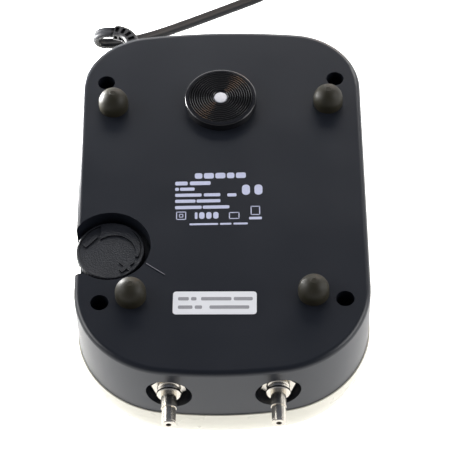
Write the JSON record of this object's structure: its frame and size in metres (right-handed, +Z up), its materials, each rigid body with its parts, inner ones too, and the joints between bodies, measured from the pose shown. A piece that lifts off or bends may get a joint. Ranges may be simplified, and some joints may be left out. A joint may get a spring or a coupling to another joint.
{
  "type": "aquarium air pump",
  "caption": "Flat rounded aquarium air pump lying on its domed cover, with a rimmed flow dial, round intake filter, hose nozzles, rubber feet and a coiled power cord.",
  "frame": {"origin": "on the surface that the cover lies on, under the middle of the pump between outlet tips and rear wall, without the cord", "axes": "+Z up, away from the cover and towards the feet; -Y towards the air outlets; the power cord leaves at +Y; +X to the right, seen from the outlets with the feet up"},
  "size_m": [0.1222, 0.2962, 0.0623],
  "materials": {
    "base_black": "satin black plastic with a fine moulded grain",
    "cover_ivory": "glossy ivory plastic",
    "seal_grey": "soft grey rubber cord",
    "screw_steel": "zinc-plated steel",
    "foot_rubber": "dark soft rubber",
    "cap_black": "glossy black plastic with turned grooves",
    "felt_white": "pressed white felt",
    "dial_black": "finely grained black plastic",
    "pot_grey": "dark moulded plastic",
    "shaft_nylon": "natural nylon",
    "board_green": "green circuit board laminate",
    "component_black": "black moulded epoxy",
    "label_white": "white paper sticker",
    "outlet_chrome": "chromed brass",
    "core_steel": "stacked silicon steel sheets, edge on",
    "bobbin_plastic": "off-white moulded nylon",
    "copper": "enamelled copper wire",
    "arm_plastic": "natural moulded nylon",
    "magnet_grey": "dark sintered ferrite",
    "bracket_steel": "zinc-plated sheet steel",
    "diaphragm_rubber": "black moulded rubber",
    "chamber_grey": "grey moulded plastic",
    "hose_rubber": "soft silicone rubber",
    "wire_sheath": "black insulated wire",
    "cord_black": "black cord sheath, slightly glossy",
    "relief_black": "black moulded strain relief",
    "tie_black": "black storage tie",
    "plug_black": "black moulded plug",
    "pin_nickel": "nickel-plated brass"
  },
  "bodies": {
    "housing": {"base_shell": "base_black", "board_components": "component_black", "board_screws": "screw_steel", "bracket_screws": "screw_steel", "chamber_screws": "screw_steel", "coil_bobbin": "bobbin_plastic", "coil_winding": "copper", "control_board": "board_green", "cord_coil": "cord_black", "cord_tie": "tie_black", "core_screws": "screw_steel", "filter_felt": "felt_white", "front_left_foot": "foot_rubber", "front_right_foot": "foot_rubber", "housing_screws": "screw_steel", "housing_seal": "seal_grey", "lead_wires": "wire_sheath", "left_air_tube": "hose_rubber", "left_chamber_body": "chamber_grey", "left_diaphragm": "diaphragm_rubber", "left_outlet_nozzle": "outlet_chrome", "left_pivot_bracket": "bracket_steel", "left_valve_cover": "chamber_grey", "magnet_core": "core_steel", "outlet_nuts": "outlet_chrome", "outlet_washers": "outlet_chrome", "pivot_pins": "bracket_steel", "plug_body": "plug_black", "plug_pins": "pin_nickel", "potentiometer": "pot_grey", "power_cord": "cord_black", "power_cord_tail": "cord_black", "rating_label": "label_white", "rear_left_foot": "foot_rubber", "rear_right_foot": "foot_rubber", "right_air_tube": "hose_rubber", "right_chamber_body": "chamber_grey", "right_diaphragm": "diaphragm_rubber", "right_outlet_nozzle": "outlet_chrome", "right_pivot_bracket": "bracket_steel", "right_valve_cover": "chamber_grey", "strain_relief": "relief_black", "top_cover": "cover_ivory", "valve_cover_screws": "screw_steel"},
    "dial": {"flow_dial": "dial_black", "potentiometer_shaft": "shaft_nylon"},
    "filter_cap_body": {"filter_cap": "cap_black"},
    "left_arm": {"left_swing_arm": "arm_plastic", "left_arm_magnets": "magnet_grey", "left_diaphragm_washer": "screw_steel", "left_diaphragm_screw": "screw_steel"},
    "left_intake_valve": {"left_intake_flap": "diaphragm_rubber"},
    "left_exhaust_valve": {"left_exhaust_flap": "diaphragm_rubber"},
    "right_arm": {"right_swing_arm": "arm_plastic", "right_arm_magnets": "magnet_grey", "right_diaphragm_washer": "screw_steel", "right_diaphragm_screw": "screw_steel"},
    "right_intake_valve": {"right_intake_flap": "diaphragm_rubber"},
    "right_exhaust_valve": {"right_exhaust_flap": "diaphragm_rubber"}
  },
  "joints": [
    {"name": "dial_turn", "type": "hinge", "parent": "housing", "child": "dial", "pos_m": [-0.0398, -0.01645, 0.0509], "axis": [0, 0, 1], "range_deg": [-181, 18]},
    {"name": "filter_cap_pull", "type": "slide", "parent": "housing", "child": "filter_cap_body", "axis": [0, 0, 1], "range_m": [0, 0.015]},
    {"name": "left_arm_swing", "type": "hinge", "parent": "housing", "child": "left_arm", "pos_m": [-0.0246, 0.05235, 0.0266], "axis": [0, 0, 1], "range_deg": [-0.9, 0.9], "stiffness_Nm_per_rad": 0.5, "deforming": ["left_diaphragm"]},
    {"name": "left_intake_flap_lift", "type": "hinge", "parent": "housing", "child": "left_intake_valve", "pos_m": [-0.0352, 0.01935, 0.0284], "axis": [0, 1, 0], "range_deg": [0, 10], "stiffness_Nm_per_rad": 0.0005},
    {"name": "left_exhaust_flap_lift", "type": "hinge", "parent": "housing", "child": "left_exhaust_valve", "pos_m": [-0.0373, 0.01935, 0.0248], "axis": [0, 1, 0], "range_deg": [0, 10], "stiffness_Nm_per_rad": 0.0005},
    {"name": "right_arm_swing", "type": "hinge", "parent": "housing", "child": "right_arm", "pos_m": [0.0246, 0.05235, 0.0266], "axis": [0, 0, 1], "range_deg": [-0.9, 0.9], "stiffness_Nm_per_rad": 0.5, "deforming": ["right_diaphragm"]},
    {"name": "right_intake_flap_lift", "type": "hinge", "parent": "housing", "child": "right_intake_valve", "pos_m": [0.0352, 0.01935, 0.0284], "axis": [0, -1, 0], "range_deg": [0, 10], "stiffness_Nm_per_rad": 0.0005},
    {"name": "right_exhaust_flap_lift", "type": "hinge", "parent": "housing", "child": "right_exhaust_valve", "pos_m": [0.0373, 0.01935, 0.0248], "axis": [0, -1, 0], "range_deg": [0, 10], "stiffness_Nm_per_rad": 0.0005}
  ],
  "couplings": [
    {"joint": "left_arm_swing", "follows": "right_arm_swing", "ratio": -1}
  ]
}
